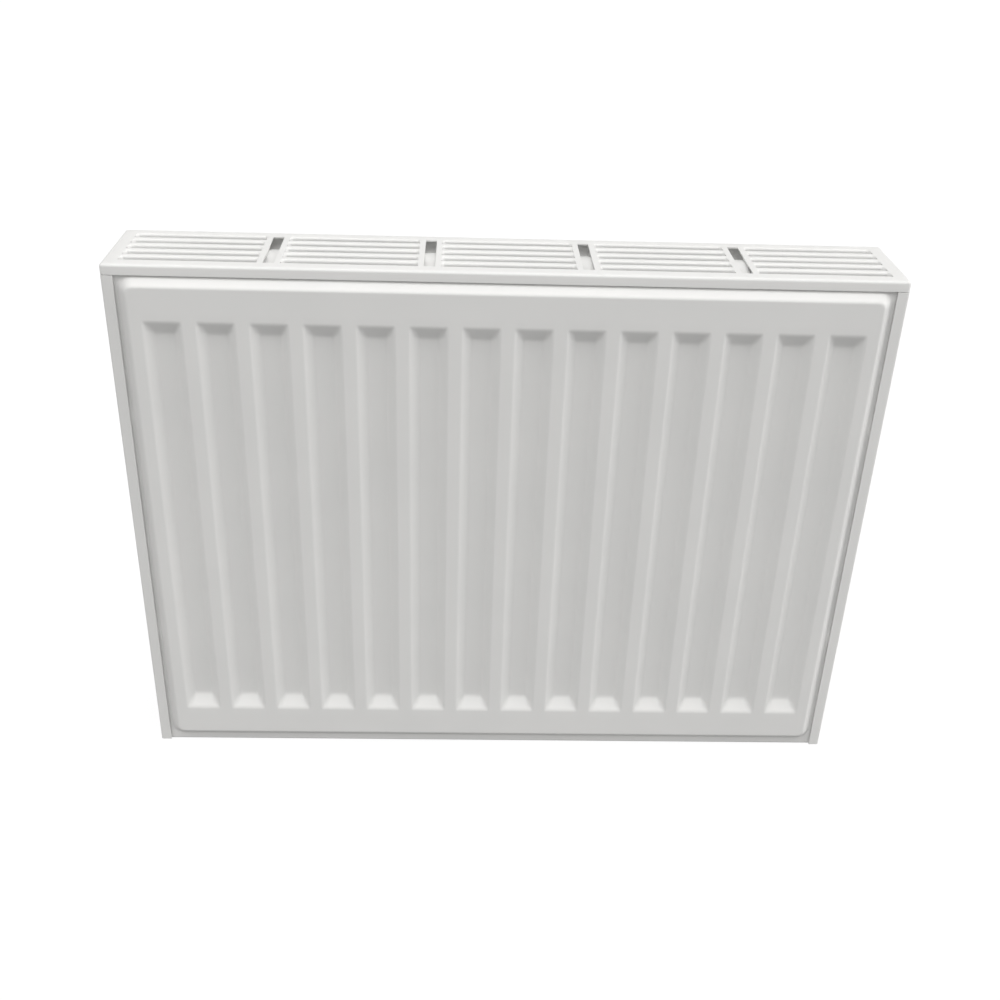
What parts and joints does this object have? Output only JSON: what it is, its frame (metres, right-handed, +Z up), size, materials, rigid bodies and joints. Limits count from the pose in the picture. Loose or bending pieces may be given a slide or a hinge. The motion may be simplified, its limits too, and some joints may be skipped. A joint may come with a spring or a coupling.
{
  "type": "panel radiator",
  "caption": "Compact double-panel steel radiator with fluted water panels, two sets of convector fins, lift-off top grille, clip-on side panels, air vent and blanking plug.",
  "frame": {"origin": "centre of the outer box at the level of the lower seams", "axes": "+X along the length (to the right seen from the front), +Y from the front face towards the wall, +Z up"},
  "size_m": [0.605, 0.103, 0.45],
  "materials": {
    "white_enamel": "semi-gloss powder coat",
    "nickel": "nickel-plated, satin",
    "brass": "turned brass",
    "rubber": "matt",
    "white_plastic": "fine moulded"
  },
  "bodies": {
    "radiator_core": {"front_panel_outer_sheet": "white_enamel", "front_panel_inner_sheet": "white_enamel", "rear_panel_inner_sheet": "white_enamel", "rear_panel_outer_sheet": "white_enamel", "convector_fins": "white_enamel", "tee_bottom_left": "white_enamel", "tee_bottom_right": "white_enamel", "tee_top_left": "white_enamel", "tee_top_right": "white_enamel", "tie_strap_1": "white_enamel", "tie_strap_2": "white_enamel", "tie_strap_3": "white_enamel", "tie_strap_4": "white_enamel", "lug_upper_left": "white_enamel", "lug_upper_right": "white_enamel", "lug_lower_left": "white_enamel", "lug_lower_right": "white_enamel", "blanking_plug": "nickel", "vent_plug": "nickel", "blanking_plug_seal": "rubber", "vent_plug_seal": "rubber"},
    "grille": {"top_grille": "white_enamel", "grille_guides": "white_enamel"},
    "left_side": {"side_panel_left": "white_enamel", "side_clips_left": "white_plastic"},
    "right_side": {"side_panel_right": "white_enamel", "side_clips_right": "white_plastic"},
    "vent_collar": {"vent_spout_collar": "white_plastic"},
    "bleed_key_screw": {"bleed_screw": "brass"}
  },
  "joints": [
    {"name": "grille_lift", "type": "slide", "parent": "radiator_core", "child": "grille", "axis": [0, 0, 1], "range_m": [0, 0.08]},
    {"name": "left_side_pull", "type": "slide", "parent": "radiator_core", "child": "left_side", "axis": [-1, 0, 0], "range_m": [0, 0.06]},
    {"name": "right_side_pull", "type": "slide", "parent": "radiator_core", "child": "right_side", "axis": [1, 0, 0], "range_m": [0, 0.06]},
    {"name": "vent_collar_turn", "type": "hinge", "parent": "radiator_core", "child": "vent_collar", "pos_m": [0.29615, -0.0045, 0.421], "axis": [1, 0, 0], "continuous": true},
    {"name": "bleed_screw_turn", "type": "hinge", "parent": "radiator_core", "child": "bleed_key_screw", "pos_m": [0.2925, -0.0045, 0.421], "axis": [1, 0, 0], "range_deg": [0, 360]}
  ]
}
